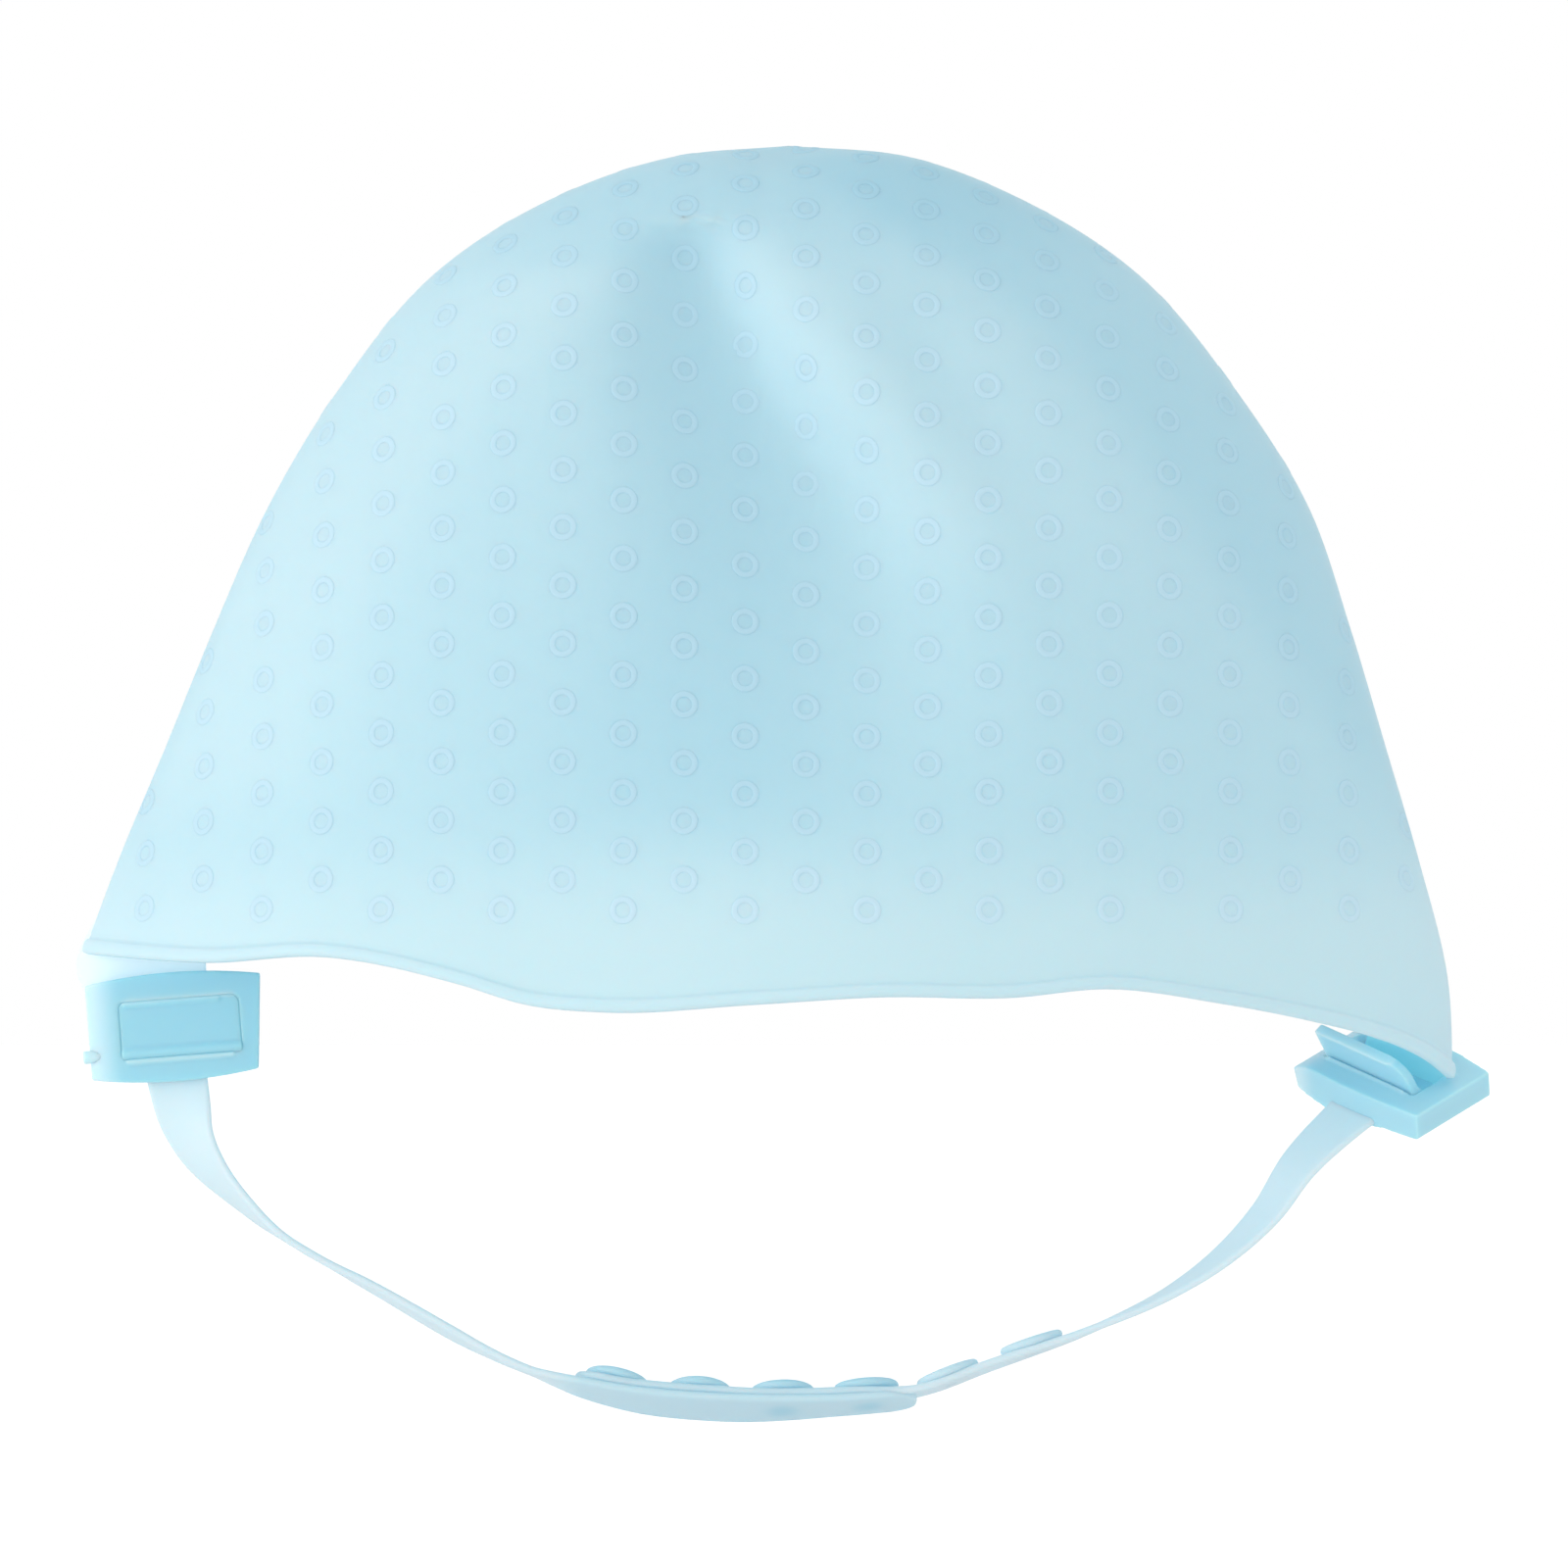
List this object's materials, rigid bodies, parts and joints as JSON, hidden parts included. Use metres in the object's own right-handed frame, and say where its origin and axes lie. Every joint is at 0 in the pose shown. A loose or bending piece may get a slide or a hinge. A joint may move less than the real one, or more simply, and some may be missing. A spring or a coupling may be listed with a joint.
{
  "type": "highlighting cap",
  "caption": "Soft silicone hair highlighting cap with a bead rim, chin strap, cam clips with flip-up levers and a snap-stud closure.",
  "frame": {"origin": "bottom centre of the bounding box: under the middle of the cap, level with the lowest point of the fastened chin strap", "axes": "+X runs along the cap's wide side, to the viewer's right when the cap is seen from the front; +Y from front to back; +Z from the strap up to the crown"},
  "size_m": [0.2601, 0.113, 0.2346],
  "materials": {
    "cap_silicone": "pale blue translucent silicone, satin, with raised rings",
    "strap_silicone": "very pale blue translucent silicone, satin",
    "clip_plastic": "aqua blue moulded plastic, satin",
    "lever_plastic": "aqua blue moulded plastic, satin",
    "pin_plastic": "aqua blue moulded plastic, satin",
    "stud_plastic": "light blue moulded plastic, satin"
  },
  "bodies": {
    "cap": {"cap_shell": "cap_silicone"},
    "strap_loop": {"left_clip_frame": "clip_plastic", "left_clip_pin": "pin_plastic", "right_clip_frame": "clip_plastic", "right_clip_pin": "pin_plastic", "hole_strap": "strap_silicone", "stud_strap": "strap_silicone", "snap_stud_1": "stud_plastic", "snap_stud_2": "stud_plastic", "snap_stud_3": "stud_plastic", "snap_stud_4": "stud_plastic", "snap_stud_5": "stud_plastic", "snap_stud_6": "stud_plastic"},
    "left_lever": {"left_clip_lever": "lever_plastic"},
    "right_lever": {"right_clip_lever": "lever_plastic"},
    "closure_tail": {"hole_strap_tail": "strap_silicone"}
  },
  "joints": [
    {"name": "strap_swing", "type": "hinge", "parent": "cap", "child": "strap_loop", "pos_m": [-0.115, 0.00095, 0.081], "axis": [0.9977, -0.0225, -0.0631], "range_deg": [-35, 22], "stiffness_Nm_per_rad": 0.05},
    {"name": "left_lever_flip", "type": "hinge", "parent": "strap_loop", "child": "left_lever", "pos_m": [-0.11175, -0.0018, 0.06841], "axis": [0.9969, 0, 0.0785], "range_deg": [0, 112], "stiffness_Nm_per_rad": 0.002},
    {"name": "right_lever_flip", "type": "hinge", "parent": "strap_loop", "child": "right_lever", "pos_m": [0.10923, 0.00205, 0.06347], "axis": [0.6988, -0.6408, -0.3179], "range_deg": [-112, 0], "stiffness_Nm_per_rad": 0.002},
    {"name": "closure_peel", "type": "hinge", "parent": "strap_loop", "child": "closure_tail", "pos_m": [-0.04136, -0.00027, 0.00714], "axis": [-0.1164, 0.9232, -0.3661], "range_deg": [0, 75], "stiffness_Nm_per_rad": 0.01}
  ]
}
